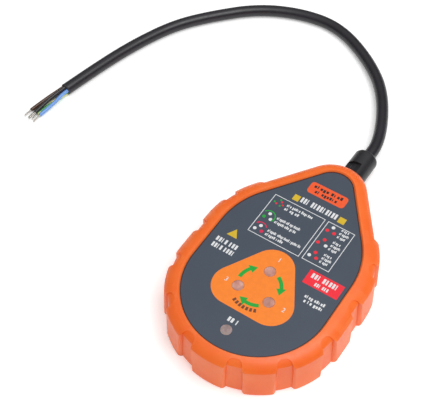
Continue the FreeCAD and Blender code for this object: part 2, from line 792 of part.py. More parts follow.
def under_side_parts():
    """Mains-side parts, hanging from the lead side of the board."""
    board = size("board_top") - size("board_thickness")
    keep(group("surge_varistors", [
        cylinder(f"varistor_{n}", 4.4, 4, 12 * n, 20, board - 4.4, "Y")
        for n in (-1, 0, 1)]), "surge_varistors")
    fuses = []
    for n in (-1, 0, 1):
        glass = cylinder(f"fuse_glass_{n + 1}", 2.3, 18, 12 * n, -6, board - 2.6, "Y")
        caps = [cylinder(f"fuse_cap_{n + 1}_{k}", 2.6, 5, 12 * n, y, board - 2.6, "Y")
                for k, y in enumerate((-7.5, 8.5))]
        fuses.append(fuse(f"fuse_{n + 1}", [glass] + caps))
    keep(group("input_fuses", fuses), "input_fuses")
    resistors = []
    for n in range(6):
        x = -25 + 10 * n
        barrel = cylinder(f"resistor_barrel_{n}", 1.7, 9, x, -28, board - 2.2, "Y")
        wire = cylinder(f"resistor_wire_{n}", 0.35, 15, x, -31, board - 2.2, "Y")
        legs = [cylinder(f"resistor_leg_{n}_{k}", 0.3, 2.2, x, y, board - 2.2)
                for k, y in enumerate((-30.65, -16.35))]
        resistors.append(fuse(f"resistor_{n}", [barrel, wire] + legs))
    keep(group("input_resistors", resistors), "input_resistors")
    keep(group("bridge_rectifiers", [
        box(f"rectifier_{n + 1}", (15 * n - 4, -48, board - 3.4), (15 * n + 4, -41, board))
        for n in (-1, 0, 1)]), "bridge_rectifiers")
    can = cylinder("can", 4, 8, 0, -62, board - 8)
    keep(can, "smoothing_capacitor")


def terminal_block():
    board = size("board_top") - size("board_thickness")
    face = size("terminal_face_y")
    pitch = size("terminal_pitch")
    level = size("gland_level")
    block = box("block", (-pitch * 2.6, face - 8, 4), (pitch * 2.6, face, board))
    holes = []
    heads = []
    for n in range(-2, 3):
        x = pitch * n
        holes.append(cylinder(f"wire_hole_{n + 2}", size("core_radius") + 0.1, 5, x, face - 5,
                              level, "Y"))
        holes.append(cylinder(f"screw_hole_{n + 2}", 1.7, 2.4, x, face - 4, 3))
        heads.append(cylinder(f"clamp_screw_{n + 2}", 1.6, 2.0, x, face - 4, 3.4))
    keep(cut("terminal_block", block, holes), "terminal_block")
    keep(group("terminal_screws", heads), "terminal_screws")


# ---------------------------------------------------------------- gland

def gland_piece(name, points):
    """Ring round the gland's axis: each point is a radius and a place along Y."""
    body = new_body(name)
    revolve(body, points, "XY_Plane", size("gland_level"))
    return body


def gland():
    seat = size("seat_y")
    thread = size("thread_radius")
    bore = size("gland_bore_radius")
    collar_start = seat + size("washer_thickness")
    collar_end = collar_start + size("collar_thickness")
    collar = size("collar_radius")
    pocket_r = size("insert_seat_radius")
    body_end = size("gland_body_end_y")
    keep(gland_piece("gland_washer", [
        (thread + size("thread_gap"), seat), (collar, seat), (collar, collar_start),
        (thread + size("thread_gap"), collar_start)]), "gland_washer")
    keep(gland_piece("gland_body", [
        (bore, size("thread_start_y")), (thread, size("thread_start_y")), (thread, collar_start),
        (collar, collar_start), (collar, collar_end), (thread, collar_end), (thread, body_end),
        (pocket_r, body_end), (pocket_r, size("insert_seat_y")), (bore, size("insert_seat_y"))]),
        "gland_body")
    start = size("insert_start_y")
    end = size("insert_end_y")
    head = size("insert_head_radius")
    grip = size("insert_bore_radius")
    keep(gland_piece("gland_insert", [
        (grip, start), (size("insert_radius"), start), (size("insert_radius"), body_end + 0.3),
        (head, body_end + 1.3), (head, end), (grip, end)]), "gland_insert")
    gland_nut(collar_end, end)


def gland_nut(collar_end, insert_end):
    """Dome nut: plain thread inside, domed mouth, and two spanner flats at its root."""
    thread = size("thread_radius") + size("thread_gap")
    outer = size("nut_radius")
    mouth = size("nut_mouth_radius")
    start = collar_end + size("nut_gap")
    shoulder = start + size("nut_flat_length")
    tip = size("nut_end_y")
    body = gland_piece("gland_nut", [
        (thread, start), (outer, start), (outer, tip), (mouth, tip), (mouth, insert_end + 0.1),
        (thread, insert_end + 0.1)])

    def outer_mouth(edge):
        box_ = edge.BoundBox
        at_tip = abs(box_.YMin - tip.number) < 1e-4 and abs(box_.YMax - tip.number) < 1e-4
        return at_tip and box_.XMax > outer.number - 0.01

    dome = round_edges(body, body.Tip, size("nut_dome"), outer_mouth)

    def inner_mouth(edge):
        box_ = edge.BoundBox
        at_tip = abs(box_.YMin - tip.number) < 1e-4 and abs(box_.YMax - tip.number) < 1e-4
        return at_tip and box_.XMax < mouth.number + 0.01

    round_edges(body, dome, 0.4, inner_mouth)
    flats = new_sketch(body, "flats", size("gland_level") - 20)
    polygon(flats, [(-outer - 1, start - 1), (outer + 1, start - 1), (outer + 1, shoulder),
                    (-outer - 1, shoulder)])
    pocket(body, flats, as_dim(20) - size("nut_flat_half"))
    upper = new_sketch(body, "upper_flat", size("gland_level") + size("nut_flat_half"))
    polygon(upper, [(-outer - 1, start - 1), (outer + 1, start - 1), (outer + 1, shoulder),
                    (-outer - 1, shoulder)])
    pocket(body, upper)
    axis_place = Vector(0, 0, size("gland_level").number)
    about_axis = FreeCAD.Rotation(Vector(0, 1, 0), size("nut_rest_turn").number)
    body.Placement = FreeCAD.Placement(Vector(0, 0, 0), about_axis, axis_place)
    keep(body, "gland_nut")


# ---------------------------------------------------------------- lead

def ring_point(centre, side, angle):
    """Place of a core on the ring inside the sheath."""
    radius = size("core_ring_radius").number
    turn = math.radians(angle)
    return centre + side * (radius * math.cos(turn)) + Vector(0, 0, radius * math.sin(turn))


def lead():
    keep(tube("lead_sheath", LEAD_ROUTE, size("lead_radius").number), "lead_sheath")
    end = Vector(*LEAD_ROUTE[-1])
    along = (end - Vector(*LEAD_ROUTE[-2])).normalize()
    side = Vector(0, 0, 1).cross(along) * -1
    for name, (angle, middle, sleeve_end, tip) in CORES.items():
        start = ring_point(end, side, angle)
        sleeve_end = Vector(*sleeve_end)
        route = [start, start + along * 5.5, Vector(*middle), sleeve_end]
        keep(tube(f"core_{name}", route, size("core_radius").number), f"core_{name}")
        ahead = (sleeve_end - Vector(*middle)).normalize()
        bare = [sleeve_end, sleeve_end + ahead * 2.5, Vector(*tip)]
        keep(tube(f"strands_{name}", bare, size("strand_radius").number), f"strands_{name}")


def core_tails():
    """The cores between the sheath's inner end and the terminal block."""
    centre = Vector(*LEAD_ROUTE[0])
    bore_end = size("thread_start_y").number
    face = size("terminal_face_y").number
    pitch = size("terminal_pitch").number
    order = [162, -126, 90, -54, 18]
    tails = []
    for number, angle in enumerate(order):
        start = ring_point(centre, Vector(1, 0, 0), angle)
        target = Vector(pitch * (number - 2), face - 4.5, size("gland_level").number)
        route = [start, Vector(start.x, bore_end - 2, start.z),
                 Vector(target.x, face + 3, target.z), target]
        tails.append(tube(f"tail_{number + 1}", route, size("core_radius").number))
    keep(group("core_tails", tails), "core_tails")


# ---------------------------------------------------------------- build and export

def check_objects():
    for obj in doc.Objects:
        if "Invalid" in obj.State or "Error" in obj.State:
            raise RuntimeError(f"{obj.Label}: {obj.State}")
    for name, obj in parts.items():
        if obj.Shape.isNull() or not obj.Shape.isValid():
            raise RuntimeError(f"{name}: bad shape")


def export_parts():
    os.makedirs("parts", exist_ok=True)
    for name, obj in parts.items():
        obj.Shape.exportStep(os.path.join("parts", f"{name}.step"))
        print(f"{name:20s} solids {len(obj.Shape.Solids):2d} volume {obj.Shape.Volume:10.1f}")


fill_sheet()
front_shell()
rear_cover()
case_gasket()
face_label()
screws()
windows_and_lamps()
circuit_board()
top_side_parts()
under_side_parts()
terminal_block()
gland()
lead()
core_tails()
doc.recompute()
check_objects()
export_parts()
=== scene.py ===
import json
import math

import bpy
from mathutils import Matrix, Vector

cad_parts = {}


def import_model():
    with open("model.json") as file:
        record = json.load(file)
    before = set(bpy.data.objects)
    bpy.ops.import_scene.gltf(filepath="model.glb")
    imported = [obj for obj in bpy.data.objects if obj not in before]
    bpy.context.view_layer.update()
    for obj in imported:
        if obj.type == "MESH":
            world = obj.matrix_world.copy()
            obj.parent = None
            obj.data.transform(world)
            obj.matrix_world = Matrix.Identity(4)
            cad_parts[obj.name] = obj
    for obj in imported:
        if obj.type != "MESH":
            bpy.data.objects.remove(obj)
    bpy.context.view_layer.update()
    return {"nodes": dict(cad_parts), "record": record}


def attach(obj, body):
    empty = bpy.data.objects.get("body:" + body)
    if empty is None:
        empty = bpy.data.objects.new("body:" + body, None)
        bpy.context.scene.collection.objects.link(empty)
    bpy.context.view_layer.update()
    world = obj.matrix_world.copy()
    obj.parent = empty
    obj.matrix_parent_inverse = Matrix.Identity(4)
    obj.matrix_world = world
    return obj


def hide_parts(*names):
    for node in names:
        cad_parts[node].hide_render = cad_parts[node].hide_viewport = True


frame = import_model()

# Lengths below are in millimetres, unless a name or a comment says otherwise.
MM = 0.001

# Top of the label and thickness of one layer of ink.
LABEL_TOP = 26.3
PRINT = 0.03

# Camera, in metres (its sensor and lens in millimetres): it looks down at the face from the right
# of the grip end.
TARGET = Vector((0.00325, -0.032, 0.0263))
AZIMUTH = math.radians(34.134)
ELEVATION = math.radians(53.607)
ROLL = math.radians(0.763)
OFFSET_RIGHT = 0.02632
OFFSET_UP = -0.04071
DISTANCE = 0.5907
SENSOR = 36.0
LENS = 85.53


def camera():
    """The camera's right, up and forward directions are the rows of one rotation."""
    high, level = math.sin(ELEVATION), math.cos(ELEVATION)
    base = Matrix(((1, 0, 0), (0, high, level), (0, level, -high)))
    turn = Matrix.Rotation(-AZIMUTH, 3, "Z")
    roll = Matrix.Rotation(ROLL, 3, "Z")
    right, up, forward = roll @ base @ turn
    data = bpy.data.cameras.new("camera")
    data.sensor_width = SENSOR
    data.lens = LENS
    data.clip_start = 0.01
    obj = bpy.data.objects.new("camera", data)
    place = TARGET - right * OFFSET_RIGHT - up * OFFSET_UP - forward * DISTANCE
    rows = Matrix((right, up, -forward)).transposed().to_4x4()
    obj.matrix_world = Matrix.Translation(place) @ rows
    bpy.context.collection.objects.link(obj)
    bpy.context.scene.camera = obj


camera()


# ---------------------------------------------------------------- materials

# Where the lens's painted reflection changes between the phase lamps (orange panel round them) and the
# polarity lamp (slate label round it), in metres.
LENS_REFLECTION_Y = -0.060


class Nodes:
    """A Principled material with short ways to wire textures into it."""

    def __init__(self, name):
        self.material = bpy.data.materials.new(name)
        self.material.use_nodes = True
        self.tree = self.material.node_tree
        self.shader = self.tree.nodes["Principled BSDF"]
        self.coords = self.tree.nodes.new("ShaderNodeTexCoord")

    def add(self, kind, **values):
        node = self.tree.nodes.new(kind)
        for key, value in values.items():
            if key in node.inputs:
                node.inputs[key].default_value = value
            else:
                setattr(node, key, value)
        return node

    def link(self, source, target):
        self.tree.links.new(source, target)

    def constant(self, **values):
        for key, value in values.items():
            self.shader.inputs[key.replace("_", " ")].default_value = value

    def noise(self, scale, detail=3.0):
        node = self.add("ShaderNodeTexNoise", Scale=scale, Detail=detail, Roughness=0.55)
        self.link(self.coords.outputs["Object"], node.inputs["Vector"])
        return node.outputs["Fac"]

    def ramp(self, factor, stops):
        """Colours at the given places along a factor."""
        node = self.add("ShaderNodeValToRGB")
        elements = node.color_ramp.elements
        while len(elements) < len(stops):
            elements.new(0.5)
        for element, (place, colour) in zip(elements, stops):
            element.position = place
            element.color = (*colour, 1.0)
        self.link(factor, node.inputs["Fac"])
        return node.outputs["Color"]

    def span(self, factor, low, high, into):
        """Spread the middle of a noise over a range of values."""
        node = self.add("ShaderNodeMapRange")
        node.inputs["To Min"].default_value = low
        node.inputs["To Max"].default_value = high
        node.inputs["From Min"].default_value = 0.3
        node.inputs["From Max"].default_value = 0.7
        self.link(factor, node.inputs["Value"])
        self.link(node.outputs["Result"], into)

    def bump(self, factor, strength, distance):
        """Relief on top of any bump that is there already."""
        node = self.add("ShaderNodeBump", Strength=strength, Distance=distance)
        self.link(factor, node.inputs["Height"])
        if self.shader.inputs["Normal"].is_linked:
            self.link(self.shader.inputs["Normal"].links[0].from_socket, node.inputs["Normal"])
        self.link(node.outputs["Normal"], self.shader.inputs["Normal"])

    def colour_between(self, factor, low, high):
        self.link(self.ramp(factor, [(0.35, low), (0.65, high)]), self.shader.inputs["Base Color"])


def shade(colour, share):
    return tuple(min(1.0, c * share) for c in colour)


def moulded(name, colour, rough, grain=0.15, vary=0.05, grain_scale=9000.0, **constants):
    """Moulded plastic or rubber: fine grain, faint flow mottling, uneven gloss."""
    nodes = Nodes(name)
    nodes.colour_between(nodes.noise(55.0), shade(colour, 1 - vary), shade(colour, 1 + vary))
    nodes.span(nodes.noise(420.0), rough - 0.05, rough + 0.06, nodes.shader.inputs["Roughness"])
    nodes.bump(nodes.noise(grain_scale, 2.0), grain, 0.00004)
    nodes.constant(**constants)
    return nodes.material


def metal(name, colour, rough):
    """Bare metal with faint tarnish and uneven polish."""
    nodes = Nodes(name)
    nodes.colour_between(nodes.noise(700.0), shade(colour, 0.85), shade(colour, 1.08))
    nodes.span(nodes.noise(2500.0), rough - 0.08, rough + 0.1, nodes.shader.inputs["Roughness"])
    nodes.bump(nodes.noise(5000.0), 0.12, 0.00003)
    nodes.constant(Metallic=1.0)
    return nodes.material


def orange_shell():
    """Fine-grained ABS, with a painted highlight: a paler orange on the convex crests."""
    nodes = Nodes("orange_shell")
    low, high = (0.96, 0.142, 0.014), (1.0, 0.178, 0.022)
    mottle = nodes.ramp(nodes.noise(40.0), [(0.35, low), (0.65, high)])
    # Convex crests, found by pointiness, get a paler orange: a painted highlight.
    crest_pointiness = nodes.add("ShaderNodeNewGeometry").outputs["Pointiness"]
    edge = nodes.ramp(crest_pointiness, [(0.515, (0, 0, 0)), (0.56, (1, 1, 1))])
    mix = nodes.add("ShaderNodeMix", data_type="RGBA")
    mix.inputs[7].default_value = (1.0, 0.29, 0.10, 1.0)
    scaled = nodes.add("ShaderNodeMath", operation="MULTIPLY")
    scaled.inputs[1].default_value = 0.25
    nodes.link(edge, scaled.inputs[0])
    nodes.link(scaled.outputs[0], mix.inputs[0])
    nodes.link(mottle, mix.inputs[6])
    nodes.link(mix.outputs[2], nodes.shader.inputs["Base Color"])
    nodes.span(nodes.noise(600.0), 0.34, 0.46, nodes.shader.inputs["Roughness"])
    nodes.bump(nodes.noise(7000.0, 2.0), 0.12, 0.00004)
    nodes.bump(nodes.noise(150.0, 1.0), 0.05, 0.0002)
    nodes.constant(Subsurface_Weight=0.12, Subsurface_Scale=0.004, Specular_IOR_Level=0.45)
    nodes.shader.inputs["Subsurface Radius"].default_value = (1.0, 0.35, 0.12)
    return nodes.material


def cloud(nodes, factor, shades):
    """Three shades, from the darkest patches to the palest."""
    return nodes.ramp(factor, list(zip((0.30, 0.52, 0.72), shades)))


def mauve_lens():
    """Frosted lens over an unlit lamp, with a painted reflection of what lies round it: pink over the
    phase lamps from the orange panel, duller over the polarity lamp from the slate label.
    """
    nodes = Nodes("mauve_lens")
    patches = nodes.noise(260.0, 2.0)
    # Both shades are the lens's own mauve with a painted reflection: of the orange panel over the phase
    # lamps, of the slate label over the polarity lamp.
    pink = cloud(nodes, patches, ((0.46, 0.20, 0.165), (0.60, 0.29, 0.235), (0.72, 0.40, 0.34)))
    dull = cloud(nodes, patches, ((0.24, 0.17, 0.165), (0.33, 0.24, 0.23), (0.42, 0.32, 0.31)))
    place = nodes.add("ShaderNodeSeparateXYZ")
    nodes.link(nodes.coords.outputs["Object"], place.inputs["Vector"])
    between = nodes.add("ShaderNodeMapRange")
    between.inputs["From Min"].default_value = LENS_REFLECTION_Y - 0.002
    between.inputs["From Max"].default_value = LENS_REFLECTION_Y + 0.002
    nodes.link(place.outputs["Y"], between.inputs["Value"])
    mix = nodes.add("ShaderNodeMix", data_type="RGBA")
    nodes.link(between.outputs["Result"], mix.inputs[0])
    nodes.link(dull, mix.inputs[6])
    nodes.link(pink, mix.inputs[7])
    nodes.link(mix.outputs[2], nodes.shader.inputs["Base Color"])
    nodes.span(nodes.noise(900.0), 0.25, 0.38, nodes.shader.inputs["Roughness"])
    nodes.bump(nodes.noise(4000.0, 2.0), 0.1, 0.00004)
    nodes.constant(Subsurface_Weight=0.3, Subsurface_Scale=0.002, Coat_Weight=0.3, Coat_Roughness=0.15)
    return nodes.material


def fibreglass():
    """Solder mask over woven glass."""
    nodes = Nodes("green_board")
    weave = nodes.add("ShaderNodeTexChecker", Scale=1800.0)
    nodes.link(nodes.coords.outputs["Object"], weave.inputs["Vector"])
    weave.inputs["Color1"].default_value = (0.020, 0.19, 0.065, 1)
    weave.inputs["Color2"].default_value = (0.030, 0.24, 0.085, 1)
    nodes.link(weave.outputs["Color"], nodes.shader.inputs["Base Color"])
    nodes.span(nodes.noise(500.0), 0.22, 0.34, nodes.shader.inputs["Roughness"])
    nodes.bump(weave.outputs["Fac"], 0.1, 0.00002)
    return nodes.material


def ink(name, colour):
    """Screen-printed ink, slightly uneven."""
    nodes = Nodes(name)
    nodes.colour_between(nodes.noise(350.0), shade(colour, 0.96), shade(colour, 1.04))
    nodes.span(nodes.noise(1500.0), 0.37, 0.48, nodes.shader.inputs["Roughness"])
    nodes.bump(nodes.noise(9000.0, 2.0), 0.08, 0.00002)
    return nodes.material


SLOTS = {
    "orange_shell": orange_shell(),
    "orange_cover": moulded("orange_cover", (0.88, 0.18, 0.028), 0.45, 0.25),
    "slate_label": moulded("slate_label", (0.050, 0.068, 0.098), 0.40, 0.12, 0.03, 5000.0),
    "mauve_lens": mauve_lens(),
    "clear_lamp": moulded("clear_lamp", (0.86, 0.86, 0.88), 0.12, 0.02, 0.02,
                          Transmission_Weight=0.7, IOR=1.5),
    "green_board": fibreglass(),
    "black_plastic": moulded("black_plastic", (0.020, 0.020, 0.021), 0.45, 0.2),
    "grey_plastic": moulded("grey_plastic", (0.35, 0.36, 0.37), 0.45),
    "blue_ceramic": moulded("blue_ceramic", (0.03, 0.10, 0.35), 0.3),
    "tan_ceramic": moulded("tan_ceramic", (0.60, 0.42, 0.22), 0.4),
    "nickel": metal("nickel", (0.70, 0.70, 0.68), 0.22),
    "zinc_steel": metal("zinc_steel", (0.62, 0.62, 0.60), 0.32),
    "black_nylon": moulded("black_nylon", (0.016, 0.016, 0.019), 0.34, 0.12, 0.12),
    "black_rubber": moulded("black_rubber", (0.018, 0.018, 0.019), 0.6, 0.25),
    "black_sheath": moulded("black_sheath", (0.015, 0.013, 0.018), 0.36, 0.10, 0.15, 3000.0),
    "brown_core": moulded("brown_core", (0.085, 0.035, 0.018), 0.3),
    "black_core": moulded("black_core", (0.018, 0.018, 0.020), 0.3),
    "grey_core": moulded("grey_core", (0.24, 0.24, 0.25), 0.3),
    "blue_core": moulded("blue_core", (0.17, 0.36, 0.80), 0.3),
    "earth_core": moulded("earth_core", (0.06, 0.36, 0.08), 0.3),
    "tinned_copper": metal("tinned_copper", (0.58, 0.55, 0.51), 0.25),
}
STRIPE = moulded("yellow_stripe", (0.85, 0.80, 0.25), 0.3)
CUT_PVC = moulded("cut_sheath", (0.028, 0.027, 0.030), 0.6, 0.4, 0.2, 2500.0)
INKS = {
    "white": ink("white_ink", (0.78, 0.79, 0.80)),
    "orange": ink("orange_ink", (0.98, 0.235, 0.012)),
    "green": ink("green_ink", (0.004, 0.38, 0.030)),
    "red": ink("red_ink", (0.90, 0.012, 0.032)),
    "crimson": ink("crimson_ink", (0.72, 0.010, 0.075)),
    "yellow": ink("yellow_ink", (0.68, 0.46, 0.014)),
    "badge": ink("badge_ink", (0.92, 0.10, 0.015)),
    "dark": ink("dark_ink", (0.16, 0.045, 0.012)),
    # Black ink: real print on the badge, and painted shade round the label's edge.
    "edge": ink("black_print_and_edge_shade", (0.014, 0.012, 0.013)),
}


def finish_cad_nodes():
    """Each CAD node takes the material of its slot in the record."""
    for row in frame["record"]["subparts"]:
        obj = frame["nodes"][row["node"]]
        material = SLOTS[row["material_slot"]]
        if not obj.material_slots:
            obj.data.materials.append(material)
        for slot in obj.material_slots:
            slot.material = material


finish_cad_nodes()


# ---------------------------------------------------------------- lead

LEAD_ROUTE = [
    (0, 61, 7.8), (0, 85, 7.8), (0.5, 108, 7.6), (-18, 147, 5.6), (-42, 170, 4.4), (-74, 187, 4.05),
    (-103, 185, 4.05), (-132, 172, 4.05), (-155, 149, 4.05), (-173, 126, 4.05), (-185, 96, 4.05),
    (-193, 66, 4.05), (-199, 36, 4.05),
]
LEAD_RADIUS = 4.0

# Cut end of the sheath: distance past the end of the route, and radius.
SHEATH_END = [(0.0, 3.97), (0.35, 4.0), (0.75, 3.95), (0.95, 3.7), (0.9, 3.35), (0.5, 3.2),
              (0.12, 3.15), (0.05, 1.0)]

# Cores and strands: radii, and how far each leaves the sheath or the core straight.
CORE_RADIUS = 1.2
CORE_RING = 2.25
CORE_START = 5.5
ROUND_EDGE = 0.12
STRAND_RADIUS = 0.2
STRAND_START = 2.5

# Each core: its angle round the sheath's end, a point on its way, its stripped end and its tip.
CORES = {
    "black": (90, (-202.4, 21.0, 5.0), (-203.4, 8.6, 3.8), (-204.6, 3.0, 2.2)),
    "brown": (18, (-204.9, 21.4, 4.1), (-207.6, 9.0, 3.0), (-208.6, 3.6, 2.2)),
    "grey": (-54, (-204.6, 22.5, 1.4), (-205.8, 10.0, 1.2), (-206.4, 4.4, 0.9)),
    "earth": (-126, (-200.7, 21.6, 1.9), (-203.2, 9.6, 1.3), (-203.0, 4.4, 0.9)),
    "blue": (162, (-198.2, 21.0, 3.4), (-200.6, 9.4, 1.9), (-201.2, 3.4, 0.9)),
}


def new_object(name, data, material=None):
    obj = bpy.data.objects.new(name, data)
    bpy.context.collection.objects.link(obj)
    if material is not None:
        data.materials.append(material)
    return obj


def nurbs(name, points, radius=0.0, material=None):
    """Round cord along a smooth spline, in millimetres."""
    data = bpy.data.curves.new(name, "CURVE")
    data.dimensions = "3D"
    data.resolution_u = 24
    data.bevel_depth = radius * MM
    data.bevel_resolution = 8
    data.use_fill_caps = True
    spline = data.splines.new("NURBS")
    spline.points.add(len(points) - 1)
    for point, place in zip(spline.points, points):
        point.co = (*(Vector(place) * MM), 1.0)
    spline.order_u = 3
    spline.use_endpoint_u = True
    return new_object(name, data, material)


def path_of(points):
    """Points along the smooth spline of a route, in metres."""
    guide = nurbs("guide", points)
    mesh = bpy.data.meshes.new_from_object(guide)
    path = [v.co.copy() for v in mesh.vertices]
    bpy.data.meshes.remove(mesh)
    bpy.data.curves.remove(guide.data)
    return path


def frames_along(path):
    """A sideways and an upward direction at each point, without twist."""
    result = []
    side = None
    for index, point in enumerate(path):
        ahead = (path[min(index + 1, len(path) - 1)] - path[max(index - 1, 0)]).normalized()
        if side is None:
            side = ahead.cross(Vector((0, 0, 1))).normalized()
        side = (side - ahead * side.dot(ahead)).normalized()
        result.append((point, side, side.cross(ahead).normalized(), ahead))
    return result


def swept(name, rings, materials, index_of=None):
    """Closed tube through rings of points; index_of picks a face's material."""
    count = len(rings[0])
    verts = [v for ring in rings for v in ring]
    faces = []
    picks = []
    for r in range(len(rings) - 1):
        for k in range(count):
            n = (k + 1) % count
            faces.append((r * count + k, r * count + n, (r + 1) * count + n, (r + 1) * count + k))
            picks.append(index_of(r, k) if index_of else 0)
    faces.append(tuple(range(count - 1, -1, -1)))
    faces.append(tuple((len(rings) - 1) * count + k for k in range(count)))
    picks += [0, 0]
    mesh = bpy.data.meshes.new(name)
    mesh.from_pydata(verts, [], faces)
    for material in materials:
        mesh.materials.append(material)
    for face, pick in zip(mesh.polygons, picks):
        face.material_index = pick
        face.use_smooth = len(face.vertices) == 4
    mesh.update()
    return new_object(name, mesh)


def ring(frame_, radius, count, offset=(0.0, 0.0)):
    """Circle of points across a path, moved aside by offset."""
    point, side, up, _ = frame_
    centre = point + side * offset[0] + up * offset[1]
    return [centre + (side * math.cos(a) + up * math.sin(a)) * radius
            for a in (2 * math.pi * k / count for k in range(count))]


def sheath_end():
    """Cut end of the sheath: a ring of PVC with a short hollow round the cores."""
    path = path_of(LEAD_ROUTE)
    end = path[-1]
    ahead = (Vector(LEAD_ROUTE[-1]) - Vector(LEAD_ROUTE[-2])).normalized()
    side = ahead.cross(Vector((0, 0, 1))).normalized()
    up = side.cross(ahead).normalized()
    rings = []
    for along, radius in SHEATH_END:
        rings.append(ring((end + ahead * along * MM, side, up, ahead), radius * MM, 40))
    return swept("sheath_end", rings, [CUT_PVC])


def ring_point(angle):
    """Where a core leaves the sheath, and the sheath's direction there."""
    end, before = Vector(LEAD_ROUTE[-1]), Vector(LEAD_ROUTE[-2])
    along = (end - before).normalized()
    side = along.cross(Vector((0, 0, 1)))
    turn = math.radians(angle)
    return end + side * (CORE_RING * math.cos(turn)) + Vector((0, 0, CORE_RING * math.sin(turn))), along


def earth_stripe(steps):
    """Picks the second material for a band that winds round the earth core."""
    def pick(r, k):
        return 1 if (k + int(r / steps * 14)) % 10 < 4 else 0
    return pick


def insulation(name, angle, middle, sleeve_end):
    """One insulated core from the sheath's end to its stripped end, which has a slight round edge."""
    start, along = ring_point(angle)
    frames = frames_along(path_of([start, start + along * CORE_START, middle, sleeve_end]))
    count = 20
    rings = [ring(f, CORE_RADIUS * MM, count) for f in frames]
    point, side, up, ahead = frames[-1]
    last = (point + ahead * ROUND_EDGE * MM, side, up, ahead)
    rings.append(ring(last, (CORE_RADIUS - ROUND_EDGE) * MM, count))
    materials = [SLOTS[f"{name}_core"]]
    pick = None
    if name == "earth":
        materials.append(STRIPE)
        pick = earth_stripe(len(frames))
    core = swept(f"{name}_insulation", rings, materials, pick)
    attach(core, "root")
    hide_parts(f"core_{name}")
    return core


def bare_end(name, middle, sleeve_end, tip):
    """The tinned strands at a core's end; they leave it straight and then bend to the tip."""
    ahead = (sleeve_end - middle).normalized()
    bare = [sleeve_end, sleeve_end + ahead * STRAND_START, tip]
    strands = strand_bundle(f"{name}_strands", frames_along(path_of(bare)))
    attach(strands, "root")
    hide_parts(f"strands_{name}")
    return strands


def core_pieces():
    """Five insulated cores, each with a bundle of tinned strands at its end."""
    pieces = []
    for name, (angle, *places) in CORES.items():
        middle, sleeve_end, tip = (Vector(place) for place in places)
        pieces.append(insulation(name, angle, middle, sleeve_end))
        pieces.append(bare_end(name, middle, sleeve_end, tip))
    return pieces


def strand_bundle(name, frames):
    """Seven twisted strands, one in the middle, joined into one mesh."""
    count = 8
    verts, faces = [], []
    for strand in range(7):
        base = len(verts)
        for step, frame_ in enumerate(frames):
            share = step / (len(frames) - 1)
            turn = math.radians(60 * strand + 300 * share)
            flare = 0.36 + 0.05 * share * math.sin(strand * 2.3)
            offset = (flare * MM * math.cos(turn), flare * MM * math.sin(turn))
            if strand == 6:
                offset = (0, 0)
            verts += ring(frame_, STRAND_RADIUS * MM, count, offset=offset)
        for r in range(len(frames) - 1):
            for k in range(count):
                n = (k + 1) % count
                faces.append((base + r * count + k, base + r * count + n,
                              base + (r + 1) * count + n, base + (r + 1) * count + k))
        faces.append(tuple(base + k for k in range(count - 1, -1, -1)))
        faces.append(tuple(base + (len(frames) - 1) * count + k for k in range(count)))
    mesh = bpy.data.meshes.new(name)
    mesh.from_pydata(verts, [], faces)
    for face in mesh.polygons:
        face.use_smooth = len(face.vertices) == 4
    mesh.update()
    return new_object(name, mesh, SLOTS["tinned_copper"])


lead = nurbs("lead", LEAD_ROUTE, LEAD_RADIUS, SLOTS["black_sheath"])
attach(lead, "root")
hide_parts("lead_sheath")
cut_end = sheath_end()
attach(cut_end, "root")
[cut_end] + core_pieces()


# ---------------------------------------------------------------- print on the label, and painted shade round its edge

def lay_ink(name, data, place, colour):
    """A flat curve becomes a piece of ink at a place on the label."""
    flat = new_object(f"{name}_outline", data)
    mesh = bpy.data.meshes.new_from_object(flat)
    bpy.data.curves.remove(data)
    mesh.transform(Matrix.Translation(Vector(place) * MM))
    mesh.name = name
    mesh.materials.clear()
    obj = new_object(name, mesh, INKS[colour])
    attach(obj, "root")


def layer_z(layer):
    """Middle of a layer of ink: layer 1 lies on layer 0."""
    return LABEL_TOP + PRINT * (layer + 0.5)


def printed(name, outlines, colour, layer=0):
    """Flat ink with the given closed outlines (an outline inside another is a hole)."""
    data = bpy.data.curves.new(name, "CURVE")
    data.dimensions = "2D"
    data.fill_mode = "BOTH"
    data.extrude = PRINT / 2 * MM
    for outline in outlines:
        spline = data.splines.new("POLY")
        spline.points.add(len(outline) - 1)
        for point, (x, y) in zip(spline.points, outline):
            point.co = (x * MM, y * MM, 0, 1)
        spline.use_cyclic_u = True
    lay_ink(name, data, (0, 0, layer_z(layer)), colour)


def arc(x, y, radius, start, end, steps=24):
    """Points along an arc, both ends included, with angles in degrees."""
    return [(x + radius * math.cos(math.radians(start + (end - start) * k / steps)),
             y + radius * math.sin(math.radians(start + (end - start) * k / steps)))
            for k in range(steps + 1)]


def disc(x, y, radius):
    return arc(x, y, radius, 0, 360, 28)[:-1]


def bar(x0, y0, x1, y1):
    return [(x0, y0), (x1, y0), (x1, y1), (x0, y1)]


def rounded_polygon(corners, radius):
    """Polygon with round corners: arcs about centres set in from each corner."""
    outline = []
    count = len(corners)
    for k in range(count):
        before, corner, after = (Vector(corners[(k + d) % count]) for d in (-1, 0, 1))
        back = (before - corner).normalized()
        ahead = (after - corner).normalized()
        half = back.angle(ahead) / 2
        centre = corner + (back + ahead).normalized() * (radius / math.sin(half))
        first = corner + back * (radius / math.tan(half)) - centre
        last = corner + ahead * (radius / math.tan(half)) - centre
        start = math.degrees(math.atan2(first.y, first.x))
        sweep = math.degrees(math.atan2(last.y, last.x)) - start
        sweep = (sweep + 180) % 360 - 180
        outline += arc(centre.x, centre.y, radius, start, start + sweep, 16)
    return outline


def frame_lines(x0, y0, x1, y1, width):
    """Outline of a rectangle as a line of the given width."""
    return [bar(x0, y0, x1, y1), bar(x0 + width, y0 + width, x1 - width, y1 - width)]


